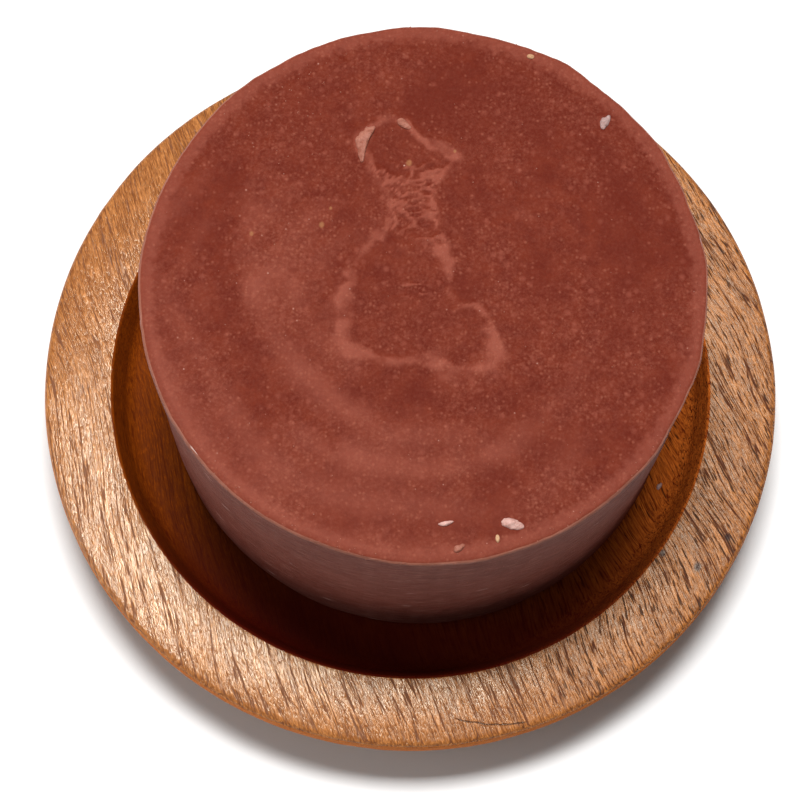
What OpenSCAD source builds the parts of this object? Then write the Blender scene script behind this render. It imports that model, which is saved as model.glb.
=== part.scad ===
// A round shaving soap puck standing in the shallow recess of a turned wooden dish.
// Units are millimetres. Z is up, and the origin is the centre of the dish's foot, on the table.

/* [Soap puck] */
// Diameter of the puck across its lathering face
puck_d = 71; // [55:0.5:90]
// Height of the puck from its underside to its lathering face
puck_h = 41; // [20:0.5:55]
// How much narrower the underside is than the lathering face, the draft of the mould
puck_draft = 0.6; // [0:0.1:4]
// Radius worn on the edge of the lathering face
puck_top_round = 0.7; // [0.3:0.1:2]
// Radius on the edge of the underside
puck_base_round = 1.8; // [0.5:0.1:4]

/* [Dish] */
// Ring of floor left free round a centred puck, for fingertips and for water
finger_gap = 4.4; // [3:0.1:9]
// Depth of the recess below the rim
recess_depth = 5.8; // [4:0.1:12]
// How much wider the recess is at its mouth than at its floor, on each side
recess_flare = 1.8; // [0.5:0.1:4]
// Radius where the recess wall meets its floor
floor_fillet = 2.4; // [0.3:0.1:3]
// Width of the flat rim, from the mouth of the recess to the outer edge
rim_w = 9.5; // [5:0.1:16]
// Rise of the rim's gentle crown above its two edges
rim_crown = 0.1; // [0.05:0.05:0.6]
// Height of the upright band round the outer edge
edge_h = 3.2; // [2.4:0.1:5]
// Radius on the upper corner of the outer edge
edge_round = 0.8; // [0.3:0.1:1.5]
// Radius on the lip where the rim turns down into the recess
lip_round = 0.5; // [0.2:0.1:1.2]
// Thickness of the wood under the recess
floor_t = 6; // [4:0.1:10]

/* [Foot] */
// How far the foot ring lies inside the dish's widest edge, where fingers lift the dish
foot_inset = 17.2; // [12:0.1:24]
// Width of the foot ring
foot_w = 6; // [4:0.5:10]
// Height of the hollow turned inside the foot ring
foot_relief = 1.2; // [0.6:0.1:2]
// Height of the foot ring below the belly of the dish
foot_h = 2; // [1:0.1:3]
// Chamfer on both corners of the foot ring
foot_chamfer = 0.4; // [0.2:0.1:0.8]

/* [Fit] */
// Clearance under the puck, so that puck and dish stay two pieces
seat_gap = 0.05; // [0.02:0.01:0.2]
// How far the puck was set down off centre, as a share of the finger gap
puck_drift = 0.42; // [0:0.01:0.8]
// Direction of that drift, from +X towards +Y, in degrees
puck_drift_angle = 58; // [0:1:359]

/* [Hidden] */

round_steps = 6;   // straight steps in each rounded corner
belly_steps = 14;  // straight steps in the belly's curve
crown_steps = 6;   // straight steps across the rim's crown
turned_fn = 128;   // smoothness of turned surfaces in the preview
flake_fn = 20;     // smoothness of the flakes
flake_taper = 0.7; // how wide a flake's upper side is, as a share of its lower side

puck_top_r = puck_d / 2;
puck_base_r = puck_top_r - puck_draft / 2;
floor_r = puck_top_r + finger_gap;
mouth_r = floor_r + recess_flare;
dish_r = mouth_r + rim_w;
floor_z = foot_relief + floor_t;
rim_z = floor_z + recess_depth;
widest_z = rim_z - edge_h;
foot_r = dish_r - foot_inset;
wall_lean = atan(recess_flare / recess_depth);
// Tangent length of a rounded wall corner, per unit of its radius
corner_share = 1 / tan((90 + wall_lean) / 2);

puck_z = floor_z + seat_gap;
puck_top_z = puck_z + puck_h;
drift = finger_gap * puck_drift;
puck_x = drift * cos(puck_drift_angle);
puck_y = drift * sin(puck_drift_angle);

// Points along a circular arc
function arc(x, z, r, from, to, steps = round_steps) =
    [for (i = [0:steps]) let (a = from + (to - from) * i / steps) [x + r * cos(a), z + r * sin(a)]];

// Points along a quarter ellipse from its lowest point to its widest point
function belly(x0, z0, x1, z1, steps = belly_steps) =
    [for (i = [0:steps]) let (a = 90 * i / steps) [x0 + (x1 - x0) * sin(a), z1 - (z1 - z0) * cos(a)]];

// Points along the crown, from the outer edge in to the lip: a parabola that rises in the middle
function crown(x0, x1, z, rise, steps = crown_steps) =
    [for (i = [1:steps - 1]) let (t = i / steps) [x0 + (x1 - x0) * t, z + rise * 4 * t * (1 - t)]];

foot_profile = [
    [0, foot_relief],
    [foot_r - foot_w - foot_relief, foot_relief],
    [foot_r - foot_w, foot_chamfer],
    [foot_r - foot_w + foot_chamfer, 0],
    [foot_r - foot_chamfer, 0],
    [foot_r, foot_chamfer],
];
edge_z = rim_z - rim_crown;   // height of the rim's two edges, under the top of its crown
rim_profile = concat(
    arc(dish_r - edge_round, edge_z - edge_round, edge_round, 0, 90),
    crown(dish_r - edge_round, mouth_r + lip_round * corner_share, edge_z, rim_crown),
    arc(mouth_r + lip_round * corner_share, edge_z - lip_round, lip_round, 90, 180 - wall_lean)
);
recess_profile = concat(
    arc(floor_r - floor_fillet * corner_share, floor_z + floor_fillet, floor_fillet, -wall_lean, -90),
    [[0, floor_z]]
);

module dish() {
    color("peru")
        rotate_extrude($fn = turned_fn)
            polygon(concat(
                foot_profile,
                belly(foot_r, foot_h, dish_r, widest_z),
                rim_profile,
                recess_profile
            ));
}

module soap_puck() {
    color("brown")
        translate([puck_x, puck_y, puck_z])
            rotate_extrude($fn = turned_fn)
                polygon(concat(
                    [[0, 0]],
                    arc(puck_base_r - puck_base_round, puck_base_round, puck_base_round, -90, 0),
                    arc(puck_top_r - puck_top_round, puck_h - puck_top_round, puck_top_round, 0, 90),
                    [[0, puck_h]]
                ));
}

// A thin flake of soap round discs of [x, y, radius], the thickest disc first
module flake(discs, thickness) {
    hull()
        for (disc = discs) {
            disc_h = thickness * sqrt(disc[2] / discs[0][2]);
            translate([disc.x, disc.y, 0])
                cylinder(h = disc_h, r1 = disc[2], r2 = disc[2] * flake_taper, $fn = flake_fn);
        }
}

// Places a flake on the lathering face, so far in from the puck's edge and turned about its own middle
module on_puck(angle, inset, turn) {
    r = puck_top_r - inset;
    translate([puck_x + r * cos(angle), puck_y + r * sin(angle), puck_top_z])
        rotate(turn)
            children();
}

module flake_oblong() {
    color("mistyrose")
        on_puck(angle = -68, inset = 3, turn = -10)
            flake([[0, 0, 0.74], [0.75, 0, 0.62], [-0.85, 0.1, 0.7]], thickness = 0.8);
}

module flake_grain() {
    color("navajowhite")
        on_puck(angle = -72, inset = 1.9, turn = 82)
            flake([[0.3, 0, 0.28], [-0.3, 0, 0.26]], thickness = 0.42);
}

module flake_grey() {
    color("rosybrown")
        on_puck(angle = 46.5, inset = 3.4, turn = 62)
            flake([[0.1, 0, 0.75], [0.75, 0.2, 0.36], [-0.7, -0.1, 0.5]], thickness = 0.6);
}

module flake_cream() {
    color("navajowhite")
        on_puck(angle = 69, inset = 1.3, turn = -12)
            flake([[0.25, 0, 0.32], [-0.35, 0.05, 0.24]], thickness = 0.4);
}

module flake_sliver() {
    color("lightpink")
        on_puck(angle = -82.5, inset = 4.8, turn = 8)
            flake([[0, 0, 0.24], [1, 0.15, 0.14], [-0.9, -0.1, 0.16]], thickness = 0.3);
}

module flake_curl() {
    color("lightpink")
        on_puck(angle = 114, inset = 15, turn = -86)
            flake([[-0.7, 0.1, 0.8], [0.8, -0.1, 0.62], [1.7, 0.1, 0.3]], thickness = 0.8);
}

module flake_nub() {
    color("lightpink")
        on_puck(angle = 99.5, inset = 13.6, turn = -35)
            flake([[-0.3, 0, 0.55], [0.6, 0, 0.4]], thickness = 0.65);
}

module crumb_front_edge() {
    color("lightpink")
        on_puck(angle = -80, inset = 1.6, turn = 20)
            flake([[0, 0, 0.6], [0.4, 0.2, 0.35], [-0.4, 0.1, 0.4]], thickness = 0.6);
}

// A crumb that fell into the recess and lies against the fillet at the foot of its wall
module crumb_in_recess() {
    angle = -18.8;
    crumb_r = 0.42;
    r = floor_r - floor_fillet * corner_share - crumb_r;
    color("antiquewhite")
        translate([r * cos(angle), r * sin(angle), floor_z])
            rotate(angle)
                flake([[0, 0, crumb_r], [-0.1, 0.45, 0.28]], thickness = 0.5);
}

dish();
soap_puck();
flake_oblong();
flake_grain();
flake_grey();
flake_cream();
flake_sliver();
flake_curl();
flake_nub();
crumb_front_edge();
crumb_in_recess();
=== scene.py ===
"""A round shaving soap puck standing in the shallow recess of a turned wooden dish.

Shapes are worked out in millimetres and become metres in mesh_object(). Angles run from +X towards +Y.
"""
import math

import bpy
import numpy as np
from mathutils import Matrix, Vector


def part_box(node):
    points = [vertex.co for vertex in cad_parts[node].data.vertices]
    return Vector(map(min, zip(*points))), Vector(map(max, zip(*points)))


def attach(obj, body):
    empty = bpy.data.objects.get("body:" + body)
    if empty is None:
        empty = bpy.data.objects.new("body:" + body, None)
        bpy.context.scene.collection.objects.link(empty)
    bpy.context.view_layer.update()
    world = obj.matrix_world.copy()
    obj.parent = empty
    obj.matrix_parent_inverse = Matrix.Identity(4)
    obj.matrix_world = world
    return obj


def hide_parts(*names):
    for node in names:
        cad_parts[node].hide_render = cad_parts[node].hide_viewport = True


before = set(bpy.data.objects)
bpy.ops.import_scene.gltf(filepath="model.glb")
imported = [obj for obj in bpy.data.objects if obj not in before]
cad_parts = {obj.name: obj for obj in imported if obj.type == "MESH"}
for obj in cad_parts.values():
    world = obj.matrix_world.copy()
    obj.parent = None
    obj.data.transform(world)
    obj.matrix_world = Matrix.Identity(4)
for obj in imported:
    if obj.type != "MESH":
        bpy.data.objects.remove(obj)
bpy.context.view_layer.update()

MM = 0.001

# ---------------------------------------------------------------- sizes, from the frame


def node_box(name):
    """Lowest and highest corner of a CAD node, in millimetres."""
    low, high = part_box(name)
    return np.array(low) / MM, np.array(high) / MM


dish_low, dish_high = node_box("dish")
puck_low, puck_high = node_box("soap_puck")

DISH_R = (dish_high[0] - dish_low[0]) / 2
RIM_Z = dish_high[2]
PUCK_R = (puck_high[0] - puck_low[0]) / 2
PUCK_H = puck_high[2] - puck_low[2]
PUCK_AT = (puck_low + puck_high) / 2 * (1, 1, 0) + puck_low * (0, 0, 1)

# the dish's turned sizes
RIM_W = 9.5
RIM_CROWN = 0.1
RECESS_DEPTH = 5.8
RECESS_FLARE = 1.8
EDGE_H = 3.2
EDGE_ROUND = 0.8
LIP_ROUND = 0.5
FLOOR_FILLET = 2.4
FOOT_INSET = 17.2
FOOT_W = 6.0
FOOT_H = 2.0
FOOT_RELIEF = 1.2
FOOT_CHAMFER = 0.4

# the puck's moulded sizes
PUCK_DRAFT = 0.3
PUCK_TOP_ROUND = 0.7
PUCK_BASE_ROUND = 1.8

# ---------------------------------------------------------------- small helpers for shapes


def smooth_step(low, high, value):
    """0 below low, 1 above high and a smooth slope between; high may be the lower one."""
    t = np.clip((value - low) / (high - low), 0, 1)
    return t * t * (3 - 2 * t)


def lattice(cells, seed):
    """One fixed random number from -1 to 1 for each whole-number cell."""
    mixed = cells[..., 0] * 374761393 + cells[..., 1] * 668265263 + cells[..., 2] * 2147483629 + seed * 144665
    mixed = (mixed ^ (mixed >> 13)) * 1274126177 & 0x7FFFFFFF
    mixed = (mixed ^ (mixed >> 16)) * 668265263 & 0x7FFFFFFF
    return (mixed >> 7 & 0xFFFF) / 32767.5 - 1


def lumps(points, width, seed, octaves=1):
    """Smooth random heights from about -1 to 1 at points, with features about so wide."""
    total, weight, reach = 0, 1, 0
    for octave in range(octaves):
        p = np.asarray(points) / width * 2 ** octave
        cell = np.floor(p).astype(np.int64)
        t = p - cell
        t = t * t * (3 - 2 * t)
        value = 0
        for corner in np.ndindex(2, 2, 2):
            share = np.prod(np.where(corner, t, 1 - t), axis=-1)
            value = value + share * lattice(cell + corner, seed + octave)
        total = total + weight * value
        reach += weight
        weight /= 2
    return total / reach * 1.6


def flat_points(x, y):
    """Points in the plane z = 0, for lumps()."""
    return np.stack([x, y, np.zeros_like(x)], axis=-1)


def distance_to_path(x, y, path, closed=False):
    """Distance from each point to a line through the path's points."""
    path = np.array(path, float)
    ends = np.roll(path, -1, axis=0) if closed else path[1:]
    nearest = np.full(np.shape(x), np.inf)
    for a, b in zip(path, ends):
        along = b - a
        t = np.clip(((x - a[0]) * along[0] + (y - a[1]) * along[1]) / (along @ along), 0, 1)
        nearest = np.minimum(nearest, np.hypot(x - a[0] - t * along[0], y - a[1] - t * along[1]))
    return nearest


def inside_path(x, y, path):
    """True for the points inside a closed path."""
    inside = np.zeros(np.shape(x), bool)
    for (ax, ay), (bx, by) in zip(path, path[1:] + path[:1]):
        crosses = (ay > y) != (by > y)
        with np.errstate(divide="ignore", invalid="ignore"):
            inside ^= crosses & (x < (bx - ax) * (y - ay) / (by - ay) + ax)
    return inside


def rounded(path, passes=2):
    """A closed path with its corners cut, twice as many points each pass."""
    path = np.array(path, float)
    for _ in range(passes):
        following = np.roll(path, -1, axis=0)
        near, far = path * 0.75 + following * 0.25, path * 0.25 + following * 0.75
        path = np.stack([near, far], axis=1).reshape(-1, 2)
    return [tuple(p) for p in path]


def mesh_object(name, points, faces, materials=(), face_materials=None, attributes=None):
    """A smooth-shaded mesh object from points in millimetres, with its place in its mesh."""
    mesh = bpy.data.meshes.new(name)
    mesh.from_pydata((np.asarray(points) * MM).tolist(), [], faces)
    mesh.shade_smooth()
    for material in materials:
        mesh.materials.append(material)
    if face_materials is not None:
        mesh.polygons.foreach_set("material_index", np.asarray(face_materials, np.int32))
    for attribute, values in (attributes or {}).items():
        layer = mesh.attributes.new(attribute, "FLOAT", "POINT")
        layer.data.foreach_set("value", np.asarray(values, np.float32))
    mesh.update()
    made = bpy.data.objects.new(name, mesh)
    bpy.context.collection.objects.link(made)
    return made


def join_rings(upper, lower):
    """Faces between two closed rings of point numbers; the upper may have twice as many as the lower."""
    count = len(lower)
    if len(upper) == count:
        return [(upper[i], lower[i], lower[(i + 1) % count], upper[(i + 1) % count]) for i in range(count)]
    faces = []
    for i in range(count):
        a, b, c = upper[2 * i], upper[2 * i + 1], upper[(2 * i + 2) % len(upper)]
        low, following = lower[i], lower[(i + 1) % count]
        faces += [(a, low, b), (b, low, following), (b, following, c)]
    return faces


# ---------------------------------------------------------------- node trees


class Tree:
    """Adds nodes to a tree. A value that is a socket is linked; any other value is set on the input."""

    def __init__(self, tree):
        self.tree = tree

    def put(self, socket, value):
        if isinstance(value, bpy.types.NodeSocket):
            self.tree.links.new(value, socket)
        else:
            socket.default_value = value

    def add(self, kind, inputs=None, **settings):
        made = self.tree.nodes.new(kind)
        for key, value in settings.items():
            setattr(made, key, value)
        for key, value in (inputs or {}).items():
            self.put(made.inputs[key], value)
        return made

    def math(self, operation, *values, clamp=False):
        made = self.add("ShaderNodeMath", operation=operation, use_clamp=clamp)
        for i, value in enumerate(values):
            self.put(made.inputs[i], value)
        return made.outputs[0]

    def times(self, a, b):
        return self.math("MULTIPLY", a, b)

    def plus(self, a, b, clamp=False):
        return self.math("ADD", a, b, clamp=clamp)

    def minus(self, a, b):
        return self.math("SUBTRACT", a, b)

    def over(self, a, b):
        return self.math("DIVIDE", a, b)

    def noise(self, vector, scale, detail, roughness=0.5):
        """Perlin noise from about 0.2 to 0.8; a scale of 1 gives features one unit wide."""
        inputs = {"Vector": vector, "Scale": scale, "Detail": detail, "Roughness": roughness}
        return self.add("ShaderNodeTexNoise", inputs).outputs[0]

    def split(self, vector):
        return self.add("ShaderNodeSeparateXYZ", {0: vector}).outputs

    def join(self, x, y, z):
        return self.add("ShaderNodeCombineXYZ", {0: x, 1: y, 2: z}).outputs[0]

    def vector(self, operation, *values):
        made = self.add("ShaderNodeVectorMath", operation=operation)
        for i, value in enumerate(values):
            self.put(made.inputs[i], value)
        return made.outputs["Value" if operation in ("LENGTH", "DISTANCE", "DOT_PRODUCT") else "Vector"]

    def remap(self, value, low, high, to_low=0.0, to_high=1.0, kind="SMOOTHSTEP"):
        made = self.add("ShaderNodeMapRange", interpolation_type=kind)
        for i, v in enumerate((value, low, high, to_low, to_high)):
            self.put(made.inputs[i], v)
        return made.outputs[0]


class Material(Tree):
    """A node material with one Principled BSDF; constants go straight on the shader's own sockets."""

    def __init__(self, name, **constants):
        self.material = bpy.data.materials.new(name)
        self.material.use_nodes = True
        super().__init__(self.material.node_tree)
        self.shader = self.tree.nodes["Principled BSDF"]
        for key, value in constants.items():
            self.shader.inputs[key.replace("_", " ")].default_value = value

    def place(self):
        """Object coordinates in millimetres."""
        coordinates = self.add("ShaderNodeTexCoord").outputs["Object"]
        return self.vector("MULTIPLY", coordinates, (1 / MM,) * 3)

    def attribute(self, name):
        return self.add("ShaderNodeAttribute", attribute_name=name).outputs["Fac"]

    def group(self, tree, **inputs):
        made = self.add("ShaderNodeGroup", node_tree=tree)
        for key, value in inputs.items():
            self.put(made.inputs[key.replace("_", " ")], value)
        return made.outputs

    def blend(self, share, a, b):
        made = self.add("ShaderNodeMix", data_type="RGBA", clamp_factor=True)
        self.put(made.inputs[0], share)
        self.put(made.inputs[6], a)
        self.put(made.inputs[7], b)
        return made.outputs[2]

    def finish(self, **inputs):
        for key, value in inputs.items():
            self.put(self.shader.inputs[key.replace("_", " ")], value)

    def bump(self, height, distance):
        """A Bump node: height from 0 to 1 is so many millimetres."""
        inputs = {"Height": height, "Distance": distance * MM, "Strength": 1.0}
        return self.add("ShaderNodeBump", inputs).outputs["Normal"]


def colour(*rgb):
    return (*rgb, 1.0)


def brighter(rgb, factor):
    return colour(*(min(1.0, c * factor) for c in rgb))


def new_group(name, inputs, outputs):
    """A shader node group; inputs maps a name to its socket kind and default, outputs a name to its kind."""
    tree = bpy.data.node_groups.new(name, "ShaderNodeTree")
    for label, (kind, default) in inputs.items():
        socket = tree.interface.new_socket(label, in_out="INPUT", socket_type=kind)
        if default is not None:
            socket.default_value = default
    for label, kind in outputs.items():
        tree.interface.new_socket(label, in_out="OUTPUT", socket_type=kind)
    built = Tree(tree)
    entry = built.add("NodeGroupInput")
    leave = built.add("NodeGroupOutput")
    return tree, built, entry.outputs, leave.inputs


FLOAT, VECTOR = "NodeSocketFloat", "NodeSocketVector"


def make_soap_grain():
    """Pale grains and bright crystals over broad blotches of tone. Coordinates are in millimetres."""
    tree, g, given, out = new_group(
        "soap_grain",
        {"Vector": (VECTOR, None), "Grain Size": (FLOAT, 0.6), "Cover": (FLOAT, 0.5),
         "Blotch Size": (FLOAT, 4.0)},
        {"Grain": FLOAT, "Crystal": FLOAT, "Blotch": FLOAT, "Tooth": FLOAT})
    per_size = g.over(1.0, given["Grain Size"])
    speckle = g.noise(given["Vector"], g.times(per_size, 1.3), 3.0, 0.65)
    cells = g.add("ShaderNodeTexVoronoi", {"Vector": given["Vector"], "Scale": per_size})
    lot = g.add("ShaderNodeSeparateColor", {0: cells.outputs["Color"]}).outputs
    granule = g.remap(cells.outputs["Distance"], 0.62, 0.05)
    chosen = g.remap(lot[0], g.minus(1.0, given["Cover"]), 1.05, kind="LINEAR")
    dust = g.times(g.remap(speckle, 0.4, 0.75), given["Cover"])
    g.put(out["Grain"], g.plus(g.times(granule, chosen), dust, clamp=True))
    keep = g.math("LESS_THAN", lot[1], g.times(given["Cover"], 0.05))
    reach = g.plus(0.16, g.times(lot[2], 0.2))
    body = g.remap(cells.outputs["Distance"], reach, g.times(reach, 0.4))
    g.put(out["Crystal"], g.times(g.times(body, keep), g.plus(0.3, lot[2])))
    slow = g.noise(given["Vector"], g.over(1.0, given["Blotch Size"]), 4.0, 0.65)
    g.put(out["Blotch"], g.remap(slow, 0.3, 0.7))
    g.put(out["Tooth"], g.noise(given["Vector"], g.times(per_size, 1.6), 3.0, 0.6))
    return tree


def make_wood_grain():
    """Open-pored straight grain along X. Coordinates are in millimetres."""
    tree, g, given, out = new_group(
        "wood_grain",
        {"Vector": (VECTOR, None), "Fibre Width": (FLOAT, 0.3), "Fibre Length": (FLOAT, 3.0),
         "Line Width": (FLOAT, 0.6), "Line Length": (FLOAT, 9.0), "Pore Width": (FLOAT, 0.3),
         "Pore Length": (FLOAT, 2.5), "Pore Cover": (FLOAT, 0.5), "Band Width": (FLOAT, 2.5)},
        {"Fibre": FLOAT, "Line": FLOAT, "Pore": FLOAT, "Band": FLOAT, "Figure": FLOAT, "Glitter": FLOAT})

    def streaks(length, width, detail, roughness, seed):
        shifted = g.vector("ADD", given["Vector"], (seed * 37.0, seed * 11.0, seed * 5.0))
        squeezed = g.vector("MULTIPLY", shifted, g.join(g.over(width, length), 1.0, 1.0))
        return g.noise(squeezed, g.over(1.0, width), detail, roughness)

    fibre = g.remap(streaks(given["Fibre Length"], given["Fibre Width"], 2.0, 0.6, 1), 0.43, 0.57)
    g.put(out["Fibre"], fibre)
    line_noise = streaks(given["Line Length"], given["Line Width"], 1.0, 0.35, 6)
    off_line = g.math("ABSOLUTE", g.minus(line_noise, 0.5))
    broken = g.plus(0.5, g.times(fibre, 0.5))
    g.put(out["Line"], g.times(g.remap(off_line, 0.036, 0.012), broken))
    pore_noise = streaks(given["Pore Length"], given["Pore Width"], 1.0, 0.4, 2)
    edge = g.minus(0.8, g.times(given["Pore Cover"], 0.4))
    g.put(out["Pore"], g.remap(pore_noise, edge, g.plus(edge, 0.1)))
    band_noise = streaks(g.times(given["Band Width"], 18.0), given["Band Width"], 2.0, 0.55, 3)
    g.put(out["Band"], g.remap(band_noise, 0.32, 0.68))
    g.put(out["Figure"], g.remap(streaks(52.0, 16.0, 2.0, 0.5, 4), 0.35, 0.65))
    g.put(out["Glitter"], streaks(0.8, 0.17, 2.0, 0.7, 5))
    return tree


def make_edge_wear_and_glow():
    """Breaks up the border of a paler edge band: worn soap, and a painted glow of light through the thin
    edge. Edge is 1 on the corner and 0 away from it.
    """
    tree, g, given, out = new_group(
        "edge_wear",
        {"Vector": (VECTOR, None), "Edge": (FLOAT, 0.0), "Breakup Size": (FLOAT, 1.5),
         "Breakup": (FLOAT, 0.5)},
        {"Mask": FLOAT})
    torn = g.noise(given["Vector"], g.over(1.0, given["Breakup Size"]), 3.0)
    shift = g.times(g.minus(torn, 0.5), g.times(given["Breakup"], 2.0))
    moved = g.plus(given["Edge"], g.times(shift, g.math("POWER", given["Edge"], 0.3)))
    g.put(out["Mask"], g.remap(moved, 0.15, 0.85))
    return tree


soap_grain = make_soap_grain()
wood_grain = make_wood_grain()
edge_wear = make_edge_wear_and_glow()

# ---------------------------------------------------------------- soap materials


DEEP_RED = colour(0.105, 0.009, 0.002)
BRICK = colour(0.148, 0.019, 0.006)
ROSE = colour(0.25, 0.06, 0.036)
PALE_ROSE = colour(0.38, 0.125, 0.08)
CRYSTAL = colour(0.55, 0.3, 0.24)
TAN = colour(0.34, 0.15, 0.06)
TAN_SPOTS = ((-2.65, 16.3, 0.5), (-13.2, 7.3, 0.45), (-21.9, 5.6, 0.35), (3.1, 18.2, 0.26),
             (-12.2, 9.6, 0.25))   # x and y from the puck's middle, radius
TAN_GRAINS = tuple((PUCK_AT[0] + x, PUCK_AT[1] + y, radius) for x, y, radius in TAN_SPOTS)
SOAP_SCATTER = {"Subsurface_Weight": 0.08, "Subsurface_Radius": (1.0, 0.28, 0.18), "Subsurface_Scale": 0.0008}


def spot_mask(m, place, spots):
    """1 in each round spot, given as x, y and radius, fading out to its edge."""
    mask = 0.0
    for x, y, radius in spots:
        offset = m.vector("SUBTRACT", place, (x, y, 0.0))
        away = m.vector("LENGTH", m.vector("MULTIPLY", offset, (1.0, 0.8, 0.0)))
        mask = m.math("MAXIMUM", m.remap(away, radius, radius * 0.35), mask)
    return mask


def soap_face_material():
    """The lathering face: brick-red soap with pale grains, poured swirls and a paler edge, partly worn soap
    and partly a painted glow of light through it.
    """
    m = Material("milled_soap_face", Roughness=0.7, Specular_IOR_Level=0.09, **SOAP_SCATTER)
    place = m.place()
    tone = m.attribute("tone")
    cover = m.plus(m.times(m.attribute("grains"), 0.6), m.times(tone, 0.12))
    coarse = m.group(soap_grain, Vector=place, Grain_Size=0.95, Cover=cover, Blotch_Size=3.0)
    fine = m.group(soap_grain, Vector=place, Grain_Size=0.5, Cover=cover, Blotch_Size=11.0)
    rim = m.group(edge_wear, Vector=place, Edge=m.attribute("edge"), Breakup_Size=1.2, Breakup=0.8)["Mask"]
    base = m.blend(coarse["Blotch"], DEEP_RED, BRICK)
    base = m.blend(m.times(fine["Blotch"], 0.3), base, DEEP_RED)
    base = m.blend(m.remap(tone, 0.0, 1.1, 0.0, 0.9), base, ROSE)
    base = m.blend(m.remap(tone, 0.0, -1.0, 0.0, 0.9), base, DEEP_RED)
    # the paler edge: worn soap, plus a painted glow of light through the thin soap
    base = m.blend(m.times(rim, 0.5), base, ROSE)
    base = m.blend(m.times(coarse["Grain"], 0.55), base, ROSE)
    base = m.blend(m.times(fine["Grain"], 0.38), base, PALE_ROSE)
    bright = m.times(fine["Crystal"], 0.55)
    base = m.blend(bright, base, CRYSTAL)
    base = m.blend(m.times(spot_mask(m, place, TAN_GRAINS), 0.55), base, TAN)
    lift = m.plus(m.times(coarse["Tooth"], 0.5), m.times(fine["Grain"], 0.35))
    m.finish(Base_Color=base, Normal=m.bump(m.plus(lift, m.times(bright, 0.4)), 0.12),
             Roughness=m.remap(fine["Grain"], 0, 1, 0.66, 0.78))
    return m.material


def soap_side_material():
    """The moulded side and underside: duller, with drag streaks and pale flecks drawn out round it."""
    m = Material("moulded_soap_side", Roughness=0.6, Specular_IOR_Level=0.12, **SOAP_SCATTER)
    place = m.place()
    parts = m.split(m.vector("SUBTRACT", place, tuple(PUCK_AT)))
    turn = m.times(m.math("ARCTAN2", parts[1], parts[0]), PUCK_R)
    wrapped = m.join(m.times(turn, 0.14), parts[2], 0.0)
    drawn = m.group(soap_grain, Vector=wrapped, Grain_Size=0.42, Cover=0.7, Blotch_Size=1.0)
    on_wall = m.remap(parts[2], 0.4, 2.5)   # the underside has no drag streaks
    cast = m.group(soap_grain, Vector=place, Grain_Size=0.6, Cover=0.55, Blotch_Size=5.0)
    rim = m.group(edge_wear, Vector=place, Edge=m.attribute("edge"), Breakup_Size=1.0, Breakup=0.6)["Mask"]
    base = m.blend(cast["Blotch"], colour(0.12, 0.021, 0.013), colour(0.165, 0.036, 0.024))
    streaks = m.times(drawn["Blotch"], on_wall)
    base = m.blend(m.times(streaks, 0.5), base, colour(0.18, 0.052, 0.038))
    # the paler edge: worn soap, plus a painted glow of light through the thin soap
    base = m.blend(m.times(rim, 0.75), base, colour(0.33, 0.12, 0.075))
    drawn_pale = m.times(m.times(drawn["Grain"], on_wall), 0.5)
    pale = m.math("MAXIMUM", drawn_pale, m.times(cast["Grain"], 0.25))
    base = m.blend(pale, base, colour(0.38, 0.17, 0.13))
    flecks = m.times(m.times(drawn["Crystal"], on_wall), 0.9)
    base = m.blend(flecks, base, colour(0.6, 0.4, 0.35))
    lift = m.plus(m.times(streaks, 0.7), m.times(cast["Tooth"], 0.4))
    m.finish(Base_Color=base, Normal=m.bump(m.plus(lift, pale), 0.13))
    return m.material


def flake_material(name, light, dark):
    """A dry flake or crumb of soap."""
    m = Material(name, Roughness=0.6, Specular_IOR_Level=0.3, Subsurface_Weight=0.1,
                 Subsurface_Radius=(1.0, 0.45, 0.35), Subsurface_Scale=0.0004)
    grain = m.group(soap_grain, Vector=m.place(), Grain_Size=0.3, Cover=0.5, Blotch_Size=0.8)
    base = m.blend(grain["Blotch"], colour(*dark), colour(*light))
    base = m.blend(m.times(grain["Grain"], 0.4), base, brighter(light, 1.35))
    m.finish(Base_Color=base, Normal=m.bump(grain["Tooth"], 0.08))
    return m.material


# ---------------------------------------------------------------- wood materials

GRAIN_ANGLE = -67.0   # direction that the grain runs
GRAIN_TAPER = 0.0021  # how much the grain lines spread, for each millimetre along them
KNOTS = ((40.4, -24.6, 0.75), (44.5, -20.2, 0.6), (35.6, -22.9, 0.65), (32.8, -22.5, 0.55))   # x, y, radius
CRACK_MIDDLE = (13.0, -47.3)   # hairline crack on the rim: its lowest point
CRACK_HALF_LENGTH = 5.2
CRACK_BEND = 0.024             # how fast it curves away from the rim's edge

# light and dark wood on the pale side of the board, then on the dark side
LACQUERED = ((0.47, 0.18, 0.05), (0.14, 0.033, 0.007), (0.44, 0.15, 0.028), (0.08, 0.016, 0.004))
STAINED = ((0.25, 0.05, 0.002), (0.12, 0.018, 0.0015), (0.64, 0.16, 0.02), (0.15, 0.018, 0.002))
# painted shadow: the dark red laid over the front of the recess, where the puck's shadow falls
PAINTED_FRONT_SHADOW = colour(0.08, 0.002, 0.002)
BAND = ((0.62, 0.19, 0.03), (0.40, 0.10, 0.012), (0.55, 0.16, 0.025), (0.3, 0.07, 0.01))


def grain_place(m):
    """Coordinates in millimetres turned so that X runs along the grain, a little spread and wavy."""
    rotation = (0.0, 0.0, math.radians(-GRAIN_ANGLE))
    turned = m.add("ShaderNodeMapping", {"Vector": m.place(), "Rotation": rotation}).outputs[0]
    parts = m.split(turned)
    spread = m.plus(1.0, m.times(parts[0], GRAIN_TAPER))
    wave = m.noise(turned, 0.04, 1.0)
    across = m.plus(m.over(parts[1], spread), m.times(wave, 5.0))
    return m.join(parts[0], across, parts[2]), across


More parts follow.
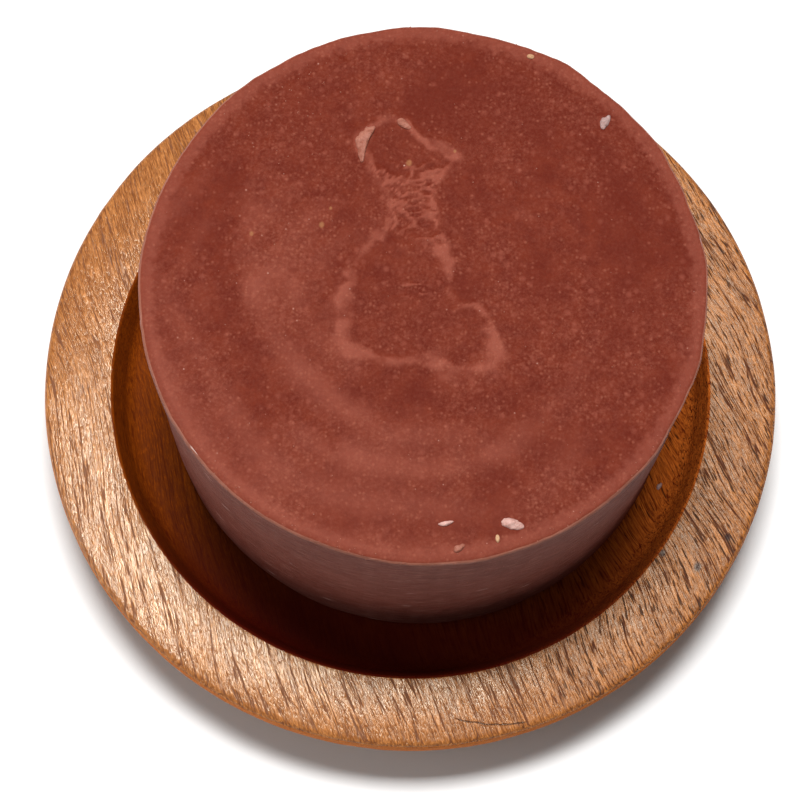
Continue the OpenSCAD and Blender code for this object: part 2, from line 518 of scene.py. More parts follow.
def crack_mask(m, place):
    """1 along the hairline crack in the front of the rim."""
    parts = m.split(place)
    jitter = m.times(m.noise(place, 0.9, 2.0), 0.4)
    along = m.minus(parts[0], CRACK_MIDDLE[0])
    line = m.plus(CRACK_MIDDLE[1], m.times(m.times(along, along), CRACK_BEND))
    away = m.math("ABSOLUTE", m.minus(m.plus(parts[1], jitter), line))
    ends = m.remap(m.math("ABSOLUTE", along), CRACK_HALF_LENGTH, CRACK_HALF_LENGTH * 0.8)
    return m.times(m.remap(away, 0.13, 0.05), ends)


def wood_material(name, tones, gloss, relief, pore_share, marks=False, front_shadow_share=0.0, **constants):
    """The dish's wood. The gloss is the roughness of its smoothest and roughest fibres.

    Front shadow share is how strongly the puck's shadow is painted over the front of the part, as a dark red.
    """
    m = Material(name, **constants)
    along, across = grain_place(m)
    grain = m.group(wood_grain, Vector=along, Fibre_Width=0.26, Fibre_Length=2.2, Line_Width=0.7,
                    Line_Length=18.0, Pore_Width=0.24, Pore_Length=2.2, Pore_Cover=0.5, Band_Width=1.3)
    heart = m.remap(m.plus(across, m.times(grain["Figure"], 18.0)), -8.0, 38.0)
    light = m.blend(heart, colour(*tones[0]), colour(*tones[2]))
    dark = m.blend(heart, colour(*tones[1]), colour(*tones[3]))
    wood = m.blend(m.times(grain["Band"], 0.35), light, dark)
    wood = m.blend(m.times(grain["Fibre"], 0.45), wood, dark)
    wood = m.blend(m.remap(grain["Glitter"], 0.5, 0.35, 0.0, 0.4), wood, dark)
    wood = m.blend(m.remap(grain["Glitter"], 0.52, 0.68, 0.0, 0.4), wood, brighter(tones[0], 1.7))
    wood = m.blend(m.times(grain["Line"], m.remap(heart, 0.0, 1.0, 0.85, 1.0)), wood, dark)
    pore = m.times(grain["Pore"], m.remap(heart, 0.2, 0.9, pore_share * 0.2, pore_share))
    height = m.plus(m.times(grain["Fibre"], -0.4), m.times(grain["Line"], -0.55))
    height = m.plus(height, m.times(grain["Glitter"], 0.8))
    height = m.minus(height, pore)
    if marks:
        place = m.place()
        wood = m.blend(spot_mask(m, place, KNOTS), wood, colour(0.045, 0.012, 0.01))
        crack = crack_mask(m, place)
        wood = m.blend(m.times(crack, 0.8), wood, colour(0.05, 0.012, 0.005))
        height = m.minus(height, m.times(crack, 1.5))
    wood = m.blend(pore, wood, colour(tones[3][0] * 0.3, tones[3][1] * 0.55, tones[3][2] * 1.6))
    dull = m.times(m.math("MAXIMUM", pore, grain["Line"]), 0.6)
    roughness = m.math("MAXIMUM", m.remap(grain["Glitter"], 0.3, 0.7, *gloss), dull)
    roughness = m.plus(roughness, m.times(heart, 0.22))
    # painted shadow: the part darkens towards the dark red at its front, where the puck's shadow falls
    if front_shadow_share:
        front = m.split(m.place())[1]
        wood = m.blend(m.remap(front, -12.0, -36.0, 0.0, front_shadow_share), wood, PAINTED_FRONT_SHADOW)
    m.finish(Base_Color=wood, Roughness=roughness, Normal=m.bump(height, relief))
    return m.material


# ---------------------------------------------------------------- the turned dish

GRAIN_RELIEF = 0.03   # height of the grain lines
WORN_RELIEF = 0.03    # height of the broad unevenness


def arc_points(x, z, radius, start, end, steps):
    angles = np.radians(np.linspace(start, end, steps + 1))
    return [(x + radius * math.cos(a), z + radius * math.sin(a)) for a in angles]


def divided(points, step):
    """The same outline with no two points further apart than step."""
    out = [points[0]]
    for a, b in zip(points, points[1:]):
        parts = max(1, math.ceil(math.dist(a, b) / step))
        out += [tuple(np.array(a) + (np.array(b) - a) * i / parts) for i in range(1, parts + 1)]
    return out


def dish_profile():
    """Radius and height round half of the dish's section, from the middle below to the middle above."""
    mouth_r = DISH_R - RIM_W
    floor_r = mouth_r - RECESS_FLARE
    floor_z = RIM_Z - RECESS_DEPTH
    edge_z = RIM_Z - RIM_CROWN
    widest_z = RIM_Z - EDGE_H
    foot_r = DISH_R - FOOT_INSET
    lean = math.degrees(math.atan(RECESS_FLARE / RECESS_DEPTH))
    corner = 1 / math.tan(math.radians(90 + lean) / 2)
    inside_r = foot_r - FOOT_W
    hollow = [(0.0, FOOT_RELIEF), (inside_r - FOOT_RELIEF, FOOT_RELIEF), (inside_r, FOOT_CHAMFER)]
    foot = [(inside_r + FOOT_CHAMFER, 0.0), (foot_r - FOOT_CHAMFER, 0.0), (foot_r, FOOT_CHAMFER)]
    belly_h = widest_z - FOOT_H
    turns = np.radians(np.linspace(0, 90, 25))
    belly = [(foot_r + FOOT_INSET * math.sin(a), widest_z - belly_h * math.cos(a)) for a in turns]
    edge = arc_points(DISH_R - EDGE_ROUND, edge_z - EDGE_ROUND, EDGE_ROUND, 0, 90, 6)
    outer, inner = DISH_R - EDGE_ROUND, mouth_r + LIP_ROUND * corner
    steps = np.linspace(0, 1, 26)[1:-1]
    crown = [(outer + (inner - outer) * t, edge_z + RIM_CROWN * 4 * t * (1 - t)) for t in steps]
    lip = arc_points(inner, edge_z - LIP_ROUND, LIP_ROUND, 90, 180 - lean, 6)
    fillet = arc_points(floor_r - FLOOR_FILLET * corner, floor_z + FLOOR_FILLET, FLOOR_FILLET, -lean, -90, 10)
    upper = divided(belly + edge, 0.8) + crown + divided(lip + fillet, 0.5)
    return divided(hollow + foot, 1.5) + upper + divided([fillet[-1], (0.0, floor_z)], 1.0)[1:]


def turning_tree():
    """Geometry nodes that turn a profile round Z: the profile's points give radius as X and height as Z."""
    tree = bpy.data.node_groups.new("turned_on_lathe", "GeometryNodeTree")
    tree.interface.new_socket("Profile", in_out="INPUT", socket_type="NodeSocketGeometry")
    sides = tree.interface.new_socket("Sides", in_out="INPUT", socket_type="NodeSocketInt")
    sides.default_value = 64
    tree.interface.new_socket("Material", in_out="INPUT", socket_type="NodeSocketMaterial")
    tree.interface.new_socket("Turned", in_out="OUTPUT", socket_type="NodeSocketGeometry")
    g = Tree(tree)
    given = g.add("NodeGroupInput").outputs
    rows = g.add("GeometryNodeAttributeDomainSize", {"Geometry": given["Profile"]}).outputs["Point Count"]
    grid = g.add("GeometryNodeMeshGrid", {"Vertices X": g.plus(given["Sides"], 1.0), "Vertices Y": rows})
    number = g.add("GeometryNodeInputIndex").outputs[0]
    column = g.math("FLOOR", g.over(g.plus(number, 0.5), rows))
    row = g.minus(number, g.times(column, rows))
    profile_point = g.add("GeometryNodeSampleIndex", data_type="FLOAT_VECTOR", domain="POINT")
    g.put(profile_point.inputs["Geometry"], given["Profile"])
    g.put(profile_point.inputs["Value"], g.add("GeometryNodeInputPosition").outputs[0])
    g.put(profile_point.inputs["Index"], row)
    parts = g.split(profile_point.outputs[0])
    angle = g.times(g.over(column, given["Sides"]), math.tau)
    x, y = (g.times(parts[0], g.math(wave, angle)) for wave in ("COSINE", "SINE"))
    place = g.join(x, y, parts[2])
    turned = g.add("GeometryNodeSetPosition", {"Geometry": grid.outputs["Mesh"], "Position": place})
    closed = g.add("GeometryNodeMergeByDistance", {"Geometry": turned.outputs[0], "Distance": 0.002 * MM})
    flat = g.add("GeometryNodeRealizeInstances", {"Geometry": closed.outputs[0]})
    smooth = g.add("GeometryNodeSetShadeSmooth", {"Geometry": flat.outputs[0], "Shade Smooth": True})
    done = g.add("GeometryNodeSetMaterial", {"Geometry": smooth.outputs[0], "Material": given["Material"]})
    g.put(g.add("NodeGroupOutput").inputs[0], done.outputs[0])
    return tree


def grown(source, tree, name, **inputs):
    """The plain mesh object that a geometry node tree makes from a source object."""
    modifier = source.modifiers.new(name, "NODES")
    modifier.node_group = tree
    for item in tree.interface.items_tree:
        if item.item_type == "SOCKET" and item.in_out == "INPUT" and item.name.replace(" ", "_") in inputs:
            modifier[item.identifier] = inputs[item.name.replace(" ", "_")]
    bpy.context.view_layer.update()
    evaluated = source.evaluated_get(bpy.context.evaluated_depsgraph_get())
    mesh = bpy.data.meshes.new_from_object(evaluated)
    source.modifiers.remove(modifier)
    mesh.name = name
    mesh.materials.clear()
    mesh.materials.append(inputs["Material"])
    mesh.polygons.foreach_set("material_index", np.zeros(len(mesh.polygons), np.int32))
    made = bpy.data.objects.new(name, mesh)
    bpy.context.collection.objects.link(made)
    return made


def vectors_of(items, field):
    """One row for each item of a mesh collection."""
    flat = np.empty(len(items) * 3, np.float32)
    items.foreach_get(field, flat)
    return flat.reshape(-1, 3)


def finish_of_dish(mesh, finishes):
    """Gives each face its finish: the rim, the recess, the upright band round the edge and the underside."""
    mesh.materials.clear()
    for material in finishes:
        mesh.materials.append(material)
    x, y, z = (vectors_of(mesh.polygons, "center") / MM).T
    r = np.hypot(x, y)
    band_low = RIM_Z - EDGE_H - 1.5
    recess = (r < DISH_R - RIM_W + LIP_ROUND * 0.5) & (z > RIM_Z - RECESS_DEPTH - 0.5)
    band = (r > DISH_R - 2) & (z < RIM_Z - RIM_CROWN - EDGE_ROUND * 0.5) & (z > band_low)
    under = (z < band_low) & ~recess
    mesh.polygons.foreach_set("material_index", (recess * 1 + band * 2 + under * 3).astype(np.int32))


def turned_dish(finishes):
    """The dish as it comes off the lathe, with the grain standing a little proud in lines."""
    profile = mesh_object("dish_profile", [(r, 0.0, z) for r, z in dish_profile()], [])
    dish = grown(profile, turning_tree(), "turned_dish", Sides=720, Material=finishes[0])
    bpy.data.objects.remove(profile)
    points = vectors_of(dish.data.vertices, "co").astype(float) / MM
    normals = vectors_of(dish.data.vertex_normals, "vector").astype(float)
    if normals[np.argmax(points[:, 2])][2] < 0:
        dish.data.flip_normals()
        normals = -normals
    turn = math.radians(GRAIN_ANGLE)
    along = points[:, 0] * math.cos(turn) + points[:, 1] * math.sin(turn)
    across = points[:, 1] * math.cos(turn) - points[:, 0] * math.sin(turn)
    stretched = np.stack([along / 16, across / (1 + GRAIN_TAPER * along), points[:, 2]], axis=-1)
    lines = lumps(stretched, 1.5, 11, 2)
    worn = lumps(points, 14, 12)
    above_foot = smooth_step(0.3, 1.5, points[:, 2])
    raised = (GRAIN_RELIEF * lines + WORN_RELIEF * worn)[:, None] * above_foot[:, None]
    moved = (points + normals * raised) * MM
    dish.data.vertices.foreach_set("co", moved.astype(np.float32).ravel())
    dish.data.update()
    finish_of_dish(dish.data, finishes)
    return dish


# ---------------------------------------------------------------- the soap puck

# The ridge that the last of the pour left, round a bell-shaped patch: x, y from the puck's middle
POUR_MARK = [(-8.6, 21), (-9, 16.8), (-5.4, 13.4), (-4.5, 10), (-4.3, 7), (-8, 4.2), (-10.1, 0.8),
             (-10.5, -3.4), (-9.9, -8.8), (-5.4, -9.8), (0, -10.2), (5.6, -10.6), (10, -10.2), (9.9, -7.4),
             (7.6, -3.2), (4.2, -2.4), (3.2, 2.4), (2.0, 5.4), (0.3, 8.2), (0, 11.2), (1, 15.2),
             (3.4, 18.7), (-1.4, 19.8), (-4, 21.9)]

# Folds of the poured soap: tone (above 0 paler), half width, and a line from the puck's middle
SWIRLS = (
    (0.22, 1.6, [(-20.4, -1.6), (-18.8, -5.6), (-16.6, -9.4), (-13.2, -13), (-9.6, -15.6), (-6.2, -17.2)]),
    (0.15, 3.4, [(-17.4, 7), (-16, 2), (-14.6, -3)]),
    (0.6, 1.3, [(-9.4, 1), (-9.9, -4), (-8.8, -8.4)]),
    (0.75, 1.5, [(2, -9.2), (7, -9.6), (9, -8.6), (8.2, -6)]),
    (0.5, 1.4, [(-3.4, 12), (-2.6, 15), (1.6, 15.4)]),
    (0.9, 0.5, [(-3.2, 21.2), (-1.2, 20), (0.6, 18.7), (2.4, 17.2), (3.8, 16.6)]),
    (0.2, 1.8, [(-23, 10.6), (-21.4, 4.6), (-20.6, -1)]),
    (0.35, 1.6, [(16.4, -11.2), (19.4, -9.4), (20.6, -7.4)]),
    (0.3, 3.0, [(9, 13), (14, 12), (18, 9)]),
    (0.28, 2.2, [(-14, -20), (-6, -22.4), (3, -22), (12, -20)]),
    (-0.7, 1.6, [(-25, 13), (-25.8, 5), (-25, -3), (-22.4, -10.6), (-17.4, -16.4), (-11, -20.2)]),
    (-0.8, 1.5, [(-6, -13), (0, -13.8), (5.6, -16), (11.6, -14), (16.4, -10.6)]),
    (-0.65, 1.5, [(6, -1), (6, 3), (4.6, 8)]),
    (-0.6, 2.4, [(0, 26), (9, 26.4), (16, 21.4), (22.4, 17.6), (26, 10), (26.8, 2), (25, -6)]),
    (-0.6, 2.2, [(-2, 22.8), (2, 22.4), (6, 20)]),
    (-0.5, 3.0, [(-14, 26), (-17, 20), (-12, 15)]),
    (-0.5, 1.6, [(-9.8, 14), (-11, 18)]),
    (-1.2, 0.5, [(-13.6, 33.0), (-11.9, 30.6)]),
)
NICK = [(-14.4, 34.2), (-13.6, 33.0), (-11.9, 30.6)]   # a fingernail's nick in the back edge

FACE_CELLS = 220      # cells across the lathering face
WALL_ROWS = 84        # rows of cells down the side
FACE_MARGIN = 1.1     # width of the edge that is left to the wall's rings
FACE_SINK = 0.1       # how far the face lies below the top of its CAD node, to make room for its relief
FACE_RINGS = 3        # rings round the edge that are still the face's soap
FINE_RING = 220       # a ring under the puck with more points than this is halved
HALVED_INSIDE = 30    # radius inside which it is halved
HOLLOW = 0.08         # how far the underside is hollowed


def face_fields(x, y):
    """Tone, grains and height of the lathering face at points from its middle."""
    p = flat_points(x, y)
    wander = 0.5 * lumps(p, 3.2, 21) + 0.3 * lumps(p, 1.1, 36)
    drift = 0.5 * lumps(p, 3.2, 22) + 0.3 * lumps(p, 1.1, 37)
    wx, wy = x + wander, y + drift
    mark = rounded(POUR_MARK, 1)
    ridge_at = distance_to_path(wx, wy, mark, closed=True)
    patch = inside_path(wx, wy, mark)
    broken = 0.75 + 0.45 * lumps(p, 1.5, 23, 2)
    ridge = np.exp(-(ridge_at / 0.78) ** 2) * np.clip(broken, 0.1, 1.2)
    neck = patch * smooth_step(3, 8, y) * smooth_step(19, 15, y)
    folds = 1 - np.abs(lumps(p * (0.8, 1.7, 1), 1.3, 24, 2)) * 2.4
    crumpled = np.clip(folds, -0.3, 1) * neck
    creases = np.exp(-((x + 1.2) / 2.6) ** 2 - ((y + 0.6) / 1.6) ** 2)
    creases = creases * np.clip(lumps(p * (0.5, 2, 1), 1.2, 35) * 3 + 0.3, 0, 1)
    tone = 0.95 * ridge + 0.9 * crumpled + 1.1 * creases - 0.3 * patch * smooth_step(6, -3, y)
    for strength, width, path in SWIRLS:
        reach = np.exp(-(distance_to_path(wx, wy, path) / width) ** 2)
        tone = tone + strength * reach * (0.8 + 0.3 * lumps(p, 2.4, 25))
    spot = np.exp(-(np.hypot(x + 5.4, (y - 1.4) * 1.3) / 1.3) ** 2)
    # the -0.011 * y and -0.009 * x terms are painted light: the face is paler towards the front left, where
    # the light falls stronger
    tone = tone - 1.3 * spot + 0.18 * lumps(p, 9, 26, 2) - 0.011 * y - 0.009 * x
    radius = np.hypot(x, y)
    bands = np.sin(radius * 1.15 + 2.2 * lumps(p, 16, 27) + 0.5 * np.arctan2(y, x))
    tone = tone + 0.1 * bands
    grains = 0.62 + 0.3 * lumps(p, 5, 28, 2) + 0.3 * np.exp(-(np.hypot(x + 17, y - 3) / 5) ** 2)
    height = 0.09 * ridge + 0.13 * crumpled + 0.1 * creases - 0.06 * patch + 0.08 * lumps(p, 12, 29, 2)
    height = height - 0.25 * np.exp(-(distance_to_path(x, y, NICK) / 0.45) ** 2)
    height = height - 0.08 * spot + 0.02 * bands + 0.02 * lumps(p, 0.8, 30) + 0.03 * np.clip(tone, -1, 1)
    return tone, np.clip(grains, 0.12, 1), height


def crumbs_on_face(x, y):
    """Loose specks per square millimetre of the face: most in two patches and along the front edge."""
    back_patch = np.exp(-(np.hypot(x + 16.5, y - 27.5) / 3.6) ** 2)
    left_patch = np.exp(-(np.hypot(x + 20.5, y - 18.5) / 4.5) ** 2)
    near_edge = smooth_step(PUCK_R - 1.6, PUCK_R - 0.8, np.hypot(x, y)) * smooth_step(0, -20, y)
    return 0.012 + 0.9 * back_patch + 0.3 * left_patch + 0.5 * near_edge


def edge_outline(angle):
    """How far the face's edge stands out from a true circle: knocked about most at the back right."""
    p = np.stack([np.cos(angle), np.sin(angle), 0 * angle], axis=-1) * PUCK_R
    knocked = 0.5 + 0.5 * np.cos(angle - math.radians(40))
    broad = lumps(p, 9.0, 31) * 0.08 + lumps(p, 4.2, 33) * (0.05 + 0.1 * knocked ** 2)
    return 0.06 + broad + 0.03 * lumps(p, 1.0, 32)


def unit_disc(cells):
    """A square grid squeezed into a disc of even cells: points, quads and the border's numbers."""
    line = np.linspace(-1, 1, cells + 1)
    u, v = np.meshgrid(line, line)
    wide = np.abs(u) > np.abs(v)
    radius = np.where(wide, u, v)
    with np.errstate(divide="ignore", invalid="ignore"):
        turn = np.where(wide, np.pi / 4 * v / u, np.pi / 2 - np.pi / 4 * u / v)
    turn = np.nan_to_num(turn)
    x, y = (radius * np.cos(turn)).ravel(), (radius * np.sin(turn)).ravel()
    number = np.arange((cells + 1) ** 2).reshape(cells + 1, cells + 1)
    corners = [number[:-1, :-1], number[:-1, 1:], number[1:, 1:], number[1:, :-1]]
    quads = np.stack(corners, axis=-1).reshape(-1, 4)
    border = np.concatenate([number[0, :-1], number[:-1, -1], number[-1, :0:-1], number[:0:-1, 0]])
    return x, y, quads.tolist(), border.tolist()


def wall_profile():
    """Radius and height from the face's edge down the side, round the base and in to the middle."""
    over = arc_points(PUCK_R - PUCK_TOP_ROUND, PUCK_H - PUCK_TOP_ROUND, PUCK_TOP_ROUND, 90, 0, 5)
    base_r = PUCK_R - PUCK_DRAFT
    under = arc_points(base_r - PUCK_BASE_ROUND, PUCK_BASE_ROUND, PUCK_BASE_ROUND, 0, -90, 7)
    wall = [tuple(p) for p in np.linspace(over[-1], under[0], WALL_ROWS)]
    floor = [(r, 0.0) for r in np.linspace(under[-1][0], 0, 12)[1:-1]]
    return over, wall[1:], under[1:], floor


def soap_puck(face, side):
    """The puck as one closed mesh: an even grid on the face, and rings down the side and under it."""
    x, y, faces, border = unit_disc(FACE_CELLS)
    angle = np.arctan2(y, x)
    x, y = x * (PUCK_R - FACE_MARGIN), y * (PUCK_R - FACE_MARGIN)
    tone, grains, height = face_fields(x, y)
    radius = np.hypot(x, y)
    near_edge = smooth_step(PUCK_R - 3.4, PUCK_R - 0.4, radius)
    points = [np.stack([x, y, PUCK_H + height * (1 - 0.6 * near_edge) - FACE_SINK], axis=-1)]
    fields = {"tone": [tone], "grains": [grains], "edge": [near_edge], "crumbs": [crumbs_on_face(x, y)]}
    over, wall, under, floor = wall_profile()
    ring, total = border, len(x)
    ring_angle = angle[border]
    ring_lift = (height * 0.4)[border]
    edge_faces = 0
    for row, (r, z) in enumerate(over + wall + under + floor):
        if row == len(over) or (z == 0 and len(ring) > FINE_RING and r < HALVED_INSIDE):
            ring_angle, ring_lift = ring_angle[::2], ring_lift[::2]
        down = PUCK_H - z
        proud = edge_outline(ring_angle) * smooth_step(3.5, 0.4, down)
        drag = np.stack([ring_angle * PUCK_R / 7, ring_angle * 0, z - ring_angle * 0.8], axis=-1)
        on_side = smooth_step(0, 1.5, down) * smooth_step(0.0, 1.5, z)
        ripple = (0.07 * lumps(drag, 0.9, 41, 3) + 0.1 * lumps(drag / (1, 1, 5), 2.2, 42)) * on_side
        reach = r + proud * (r / PUCK_R) + np.minimum(ripple - 0.05 * on_side, 0.06)
        at_face = smooth_step(1.0, 0.0, down)
        rise = PUCK_H - down + ring_lift * at_face - FACE_SINK * at_face
        ring_x, ring_y = reach * np.cos(ring_angle), reach * np.sin(ring_angle)
        dimple = HOLLOW * (1 + lumps(flat_points(ring_x, ring_y), 5, 43))
        rise = rise + dimple * (z == 0) * smooth_step(PUCK_R - 3, PUCK_R - 6, r)
        points.append(np.stack([ring_x, ring_y, rise], axis=-1))
        fields["tone"].append(0 * reach)
        fields["grains"].append(0 * reach + 0.6)
        fields["edge"].append(0 * reach + smooth_step(1.6, 0.3, down))
        front = smooth_step(-0.2, -0.9, np.sin(ring_angle)) * smooth_step(1.6, 0.8, down)
        fields["crumbs"].append((0.025 + 0.7 * front) * smooth_step(1.0, 3.0, z))
        following = list(range(total, total + len(reach)))
        faces += join_rings(ring, following)
        if row < FACE_RINGS:
            edge_faces = len(faces)
        ring, total = following, total + len(reach)
    points.append(np.array([[0, 0, HOLLOW]]))
    for values in fields.values():
        values.append(np.zeros(1))
    faces += [(ring[i], total, ring[(i + 1) % len(ring)]) for i in range(len(ring))]
    on_side = np.arange(len(faces)) >= edge_faces
    merged = {name: np.concatenate(values) for name, values in fields.items()}
    placed = np.concatenate(points) + PUCK_AT
    return mesh_object("soap_puck_body", placed, faces, (face, side), on_side, merged)


# ---------------------------------------------------------------- flakes and crumbs of soap

FLAKE_CELLS = 22     # cells across each flake
FLAKE_SINK = 0.25    # how deep a flake's hidden underside lies in what it lies on

# Outline of each flake, from -1 to 1 across the space of its CAD node
OBLONG = [(-1, 0.1), (-0.8, 0.75), (-0.25, 0.95), (0.45, 0.55), (1, -0.1), (0.9, -0.75), (0.2, -0.8),
          (-0.6, -0.55)]
GRAIN = [(-0.9, -0.2), (-0.7, 0.8), (0.1, 1), (0.9, 0.5), (0.8, -0.7), (0, -1)]
CHIP = [(-1, -0.5), (-0.7, 0.5), (0.1, 0.6), (0.5, 1), (1, 0.7), (0.7, -0.1), (0.2, -0.6), (-0.4, -1)]
SLIVER = [(-1, -0.3), (-0.5, 0.4), (0.3, 1), (1, 0.9), (0.5, 0), (-0.2, -0.9)]
CURL = [(1.4, 1.45), (0.5, 1.5), (-0.4, 1.2), (-1.2, 0.85), (-1.7, 0.4), (-1.5, 0), (-1.1, -0.5),
        (-1.0, -1.05), (-0.5, -1.45), (-0.1, -1.4), (0, -0.9), (0.1, -0.35), (0.3, 0.05), (0.6, 0.45),
        (1.45, 1.3)]
NUB = [(-1.1, 0.7), (-0.6, 1.15), (0.1, 0.9), (0.6, 0.1), (1.2, -0.5), (0.8, -1.1), (0, -0.8), (-0.9, -0.2)]


def flake_piece(name, node, outline, material):
    """A flake in the space of its CAD node: ragged and lumpy on top, flat where it lies."""
    low, high = node_box(node)
    middle, half = (low + high) / 2, (high - low) / 2
    x, y, top_faces, border = unit_disc(FLAKE_CELLS)
    path = np.array(rounded(outline, 2)) * half[:2]
    path = path[np.argsort(np.arctan2(path[:, 1], path[:, 0]))]
    turns = np.arctan2(path[:, 1], path[:, 0])
    reach = np.interp(np.arctan2(y, x), turns, np.hypot(*path.T), period=math.tau)
    spot = flat_points(x * reach + middle[0], y * reach + middle[1])
    reach = reach * (1 + 0.06 * lumps(spot, 0.35, 51) * np.hypot(x, y))
    dome = (1 - np.hypot(x, y) ** 2.4) * (0.5 + 0.18 * lumps(spot, 0.6, 52, 2))
    across = np.stack([x * reach + middle[0], y * reach + middle[1]])
    top = np.stack([*across, low[2] + 2 * half[2] * dome], axis=-1)
    underside = np.stack([*across, 0 * x + low[2] - FLAKE_SINK], axis=-1)
    below = [number + len(x) for number in border]
    faces = top_faces + join_rings(border, below)
    faces += [tuple(number + len(x) for number in reversed(face)) for face in top_faces]
    return mesh_object(name, np.concatenate([top, underside]), faces, (material,))


def crumb_scatter_tree():
    """Geometry nodes that drop small rough crumbs where the surface's "crumbs" attribute asks for them."""
    tree = bpy.data.node_groups.new("crumb_scatter", "GeometryNodeTree")
    for label, kind, default in (("Surface", "Geometry", None), ("Smallest", "Float", 0.0001),
                                 ("Largest", "Float", 0.0002), ("Flatness", "Float", 0.6), ("Seed", "Int", 0),
                                 ("Material", "Material", None)):
        socket = tree.interface.new_socket(label, in_out="INPUT", socket_type="NodeSocket" + kind)
        if default is not None:
            socket.default_value = default
    tree.interface.new_socket("Crumbs", in_out="OUTPUT", socket_type="NodeSocketGeometry")
    g = Tree(tree)
    given = g.add("NodeGroupInput").outputs
    wanted = g.add("GeometryNodeInputNamedAttribute", {"Name": "crumbs"}, data_type="FLOAT")
    per_area = g.over(wanted.outputs["Attribute"], MM * MM)
    scatter = {"Mesh": given["Surface"], "Density": per_area, "Seed": given["Seed"]}
    dropped = g.add("GeometryNodeDistributePointsOnFaces", scatter, distribute_method="RANDOM")
    sizes = {2: given["Smallest"], 3: given["Largest"], "Seed": given["Seed"]}
    size = g.add("FunctionNodeRandomValue", sizes, data_type="FLOAT").outputs[1]
    turns = {0: (0.0, 0.0, 0.0), 1: (math.tau,) * 3, "Seed": given["Seed"]}
    spin = g.add("FunctionNodeRandomValue", turns, data_type="FLOAT_VECTOR").outputs[0]
    low = g.times(size, given["Flatness"])
    scale = g.join(size, g.times(size, 0.8), low)
    grit = g.add("GeometryNodeMeshIcoSphere", {"Radius": 1.0, "Subdivisions": 1}).outputs["Mesh"]
    placed = g.add("GeometryNodeInstanceOnPoints", {"Points": dropped.outputs["Points"], "Instance": grit,
                                                    "Rotation": spin, "Scale": scale}).outputs[0]
    real = g.add("GeometryNodeRealizeInstances", {"Geometry": placed}).outputs[0]
    done = g.add("GeometryNodeSetMaterial", {"Geometry": real, "Material": given["Material"]}).outputs[0]
    g.put(g.add("NodeGroupOutput").inputs[0], done)
    return tree


# ---------------------------------------------------------------- camera, floor and lights

CAMERA_ELEVATION = 72.9
CAMERA_DISTANCE = 306.0
CAMERA_ROLL = 2.93
CAMERA_LENS = 97.4
CAMERA_SHIFT = (-0.0134, -0.0166)


def make_camera():
    """Looks down on the dish from the front, aimed at the middle of its widest plane."""
    tilt, roll = math.radians(CAMERA_ELEVATION), math.radians(CAMERA_ROLL)
    back = Vector((0, -math.cos(tilt), math.sin(tilt)))
    across, up = Vector((1, 0, 0)), Vector((0, math.sin(tilt), math.cos(tilt)))
    turned_across = across * math.cos(roll) + up * math.sin(roll)
    turned_up = up * math.cos(roll) - across * math.sin(roll)
    data = bpy.data.cameras.new("camera")
    data.lens, data.sensor_width = CAMERA_LENS, 36.0
    data.shift_x, data.shift_y = CAMERA_SHIFT
    data.clip_start, data.clip_end = 0.01, 20
    camera = bpy.data.objects.new("camera", data)
    bpy.context.collection.objects.link(camera)
    turn = Matrix((turned_across, turned_up, back)).transposed().to_4x4()
    aim = Vector((0, 0, (RIM_Z - EDGE_H) * MM))
    camera.matrix_world = Matrix.Translation(aim + back * CAMERA_DISTANCE * MM) @ turn
    bpy.context.scene.camera = camera


def soft_light(name, towards, distance, size, power):
    """A square soft box in the direction `towards`, aimed at the dish."""
    data = bpy.data.lights.new(name, "AREA")
    data.shape = "RECTANGLE"
    data.size, data.size_y = size
    data.energy = power
    light = bpy.data.objects.new(name, data)
    bpy.context.collection.objects.link(light)
    direction = Vector(towards).normalized()
    light.location = direction * distance
    light.rotation_mode = "QUATERNION"
    light.rotation_quaternion = (-direction).to_track_quat("-Z", "Y")


def make_studio():
    m = Material("pale_floor", Roughness=0.9, Specular_IOR_Level=0.1)
    m.finish(Base_Color=colour(0.9, 0.9, 0.895))
    side = 3.0
    corners = [(x * side / MM, y * side / MM, 0.0) for x, y in ((-1, -1), (1, -1), (1, 1), (-1, 1))]
    mesh_object("floor", corners, [(0, 1, 2, 3)], (m.material,))
    soft_light("soft_box_above", towards=(-0.02, 0.195, 0.98), distance=0.6, size=(0.22, 0.12), power=4.35)
    soft_light("soft_box_left", towards=(-0.9, -0.25, 0.35), distance=0.5, size=(0.3, 0.3), power=0.6)
    world = bpy.data.worlds.new("studio_air")
    world.use_nodes = True
    background = world.node_tree.nodes["Background"].inputs
    background["Color"].default_value = (1, 1, 1, 1)
    background["Strength"].default_value = 0.15
    bpy.context.scene.world = world
    bpy.context.scene.view_settings.view_transform = "Standard"


# ---------------------------------------------------------------- putting it together

make_camera()
make_studio()

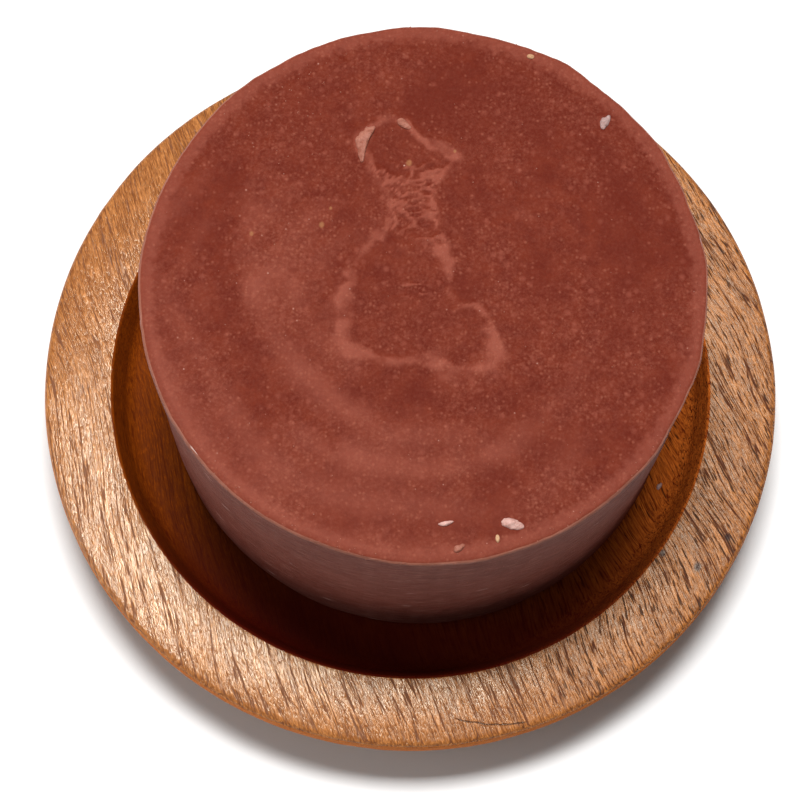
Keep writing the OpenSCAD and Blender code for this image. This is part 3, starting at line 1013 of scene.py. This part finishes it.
rim_wood = wood_material("lacquered_rim_wood", LACQUERED, gloss=(0.1, 0.22), relief=0.06, pore_share=0.85,
                         marks=True, Specular_IOR_Level=0.46, Specular_Tint=colour(1.0, 0.9, 0.72))
# the recess wood has a painted shadow of the puck over its front
recess_wood = wood_material("stained_recess_wood", STAINED, gloss=(0.6, 0.75), relief=0.015, pore_share=0.8,
                            front_shadow_share=0.85, Specular_IOR_Level=0.05)
band_wood = wood_material("lacquered_edge_wood", BAND, gloss=(0.6, 0.75), relief=0.04, pore_share=0.5,
                          Specular_IOR_Level=0.06)
under_wood = wood_material("oiled_underside_wood", LACQUERED, gloss=(0.5, 0.65), relief=0.05, pore_share=0.7,
                           Specular_IOR_Level=0.3)
dish = turned_dish((rim_wood, recess_wood, band_wood, under_wood))
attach(dish, "dish")
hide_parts("dish")

puck = soap_puck(soap_face_material(), soap_side_material())
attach(puck, "puck")
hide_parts("soap_puck")

pale_flake = flake_material("pale_dry_soap", (0.62, 0.38, 0.33), (0.44, 0.23, 0.19))
rosy_flake = flake_material("rosy_dry_soap", (0.37, 0.14, 0.095), (0.25, 0.075, 0.045))
grey_flake = flake_material("grey_dry_soap", (0.42, 0.29, 0.27), (0.3, 0.17, 0.15))
cream_flake = flake_material("cream_dry_soap", (0.58, 0.36, 0.2), (0.4, 0.2, 0.1))

FLAKES = (
    ("oblong_soap_flake", "flake_oblong", OBLONG, pale_flake, "puck", "soap_flake"),
    ("cream_soap_grain", "flake_grain", GRAIN, cream_flake, "puck", "cream_flake"),
    ("grey_soap_flake", "flake_grey", CHIP, grey_flake, "puck", "soap_flake"),
    ("cream_soap_flake", "flake_cream", GRAIN, cream_flake, "puck", "cream_flake"),
    ("soap_sliver", "flake_sliver", SLIVER, pale_flake, "puck", "soap_flake"),
    ("soap_curl", "flake_curl", CURL, rosy_flake, "puck", "soap_flake"),
    ("soap_nub", "flake_nub", NUB, rosy_flake, "puck", "soap_flake"),
    ("front_edge_crumb", "crumb_front_edge", CHIP, rosy_flake, "puck", "soap_flake"),
    ("fallen_crumb", "crumb_in_recess", CHIP, grey_flake, "dish", "soap_flake"),
)
for name, node, outline, material, body, slot in FLAKES:
    flake = flake_piece(name, node, outline, material)
    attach(flake, body)
    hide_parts(node)

crumbs = grown(puck, crumb_scatter_tree(), "scattered_soap_crumbs", Smallest=0.05 * MM,
               Largest=0.13 * MM, Seed=7, Material=rosy_flake)
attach(crumbs, "puck")
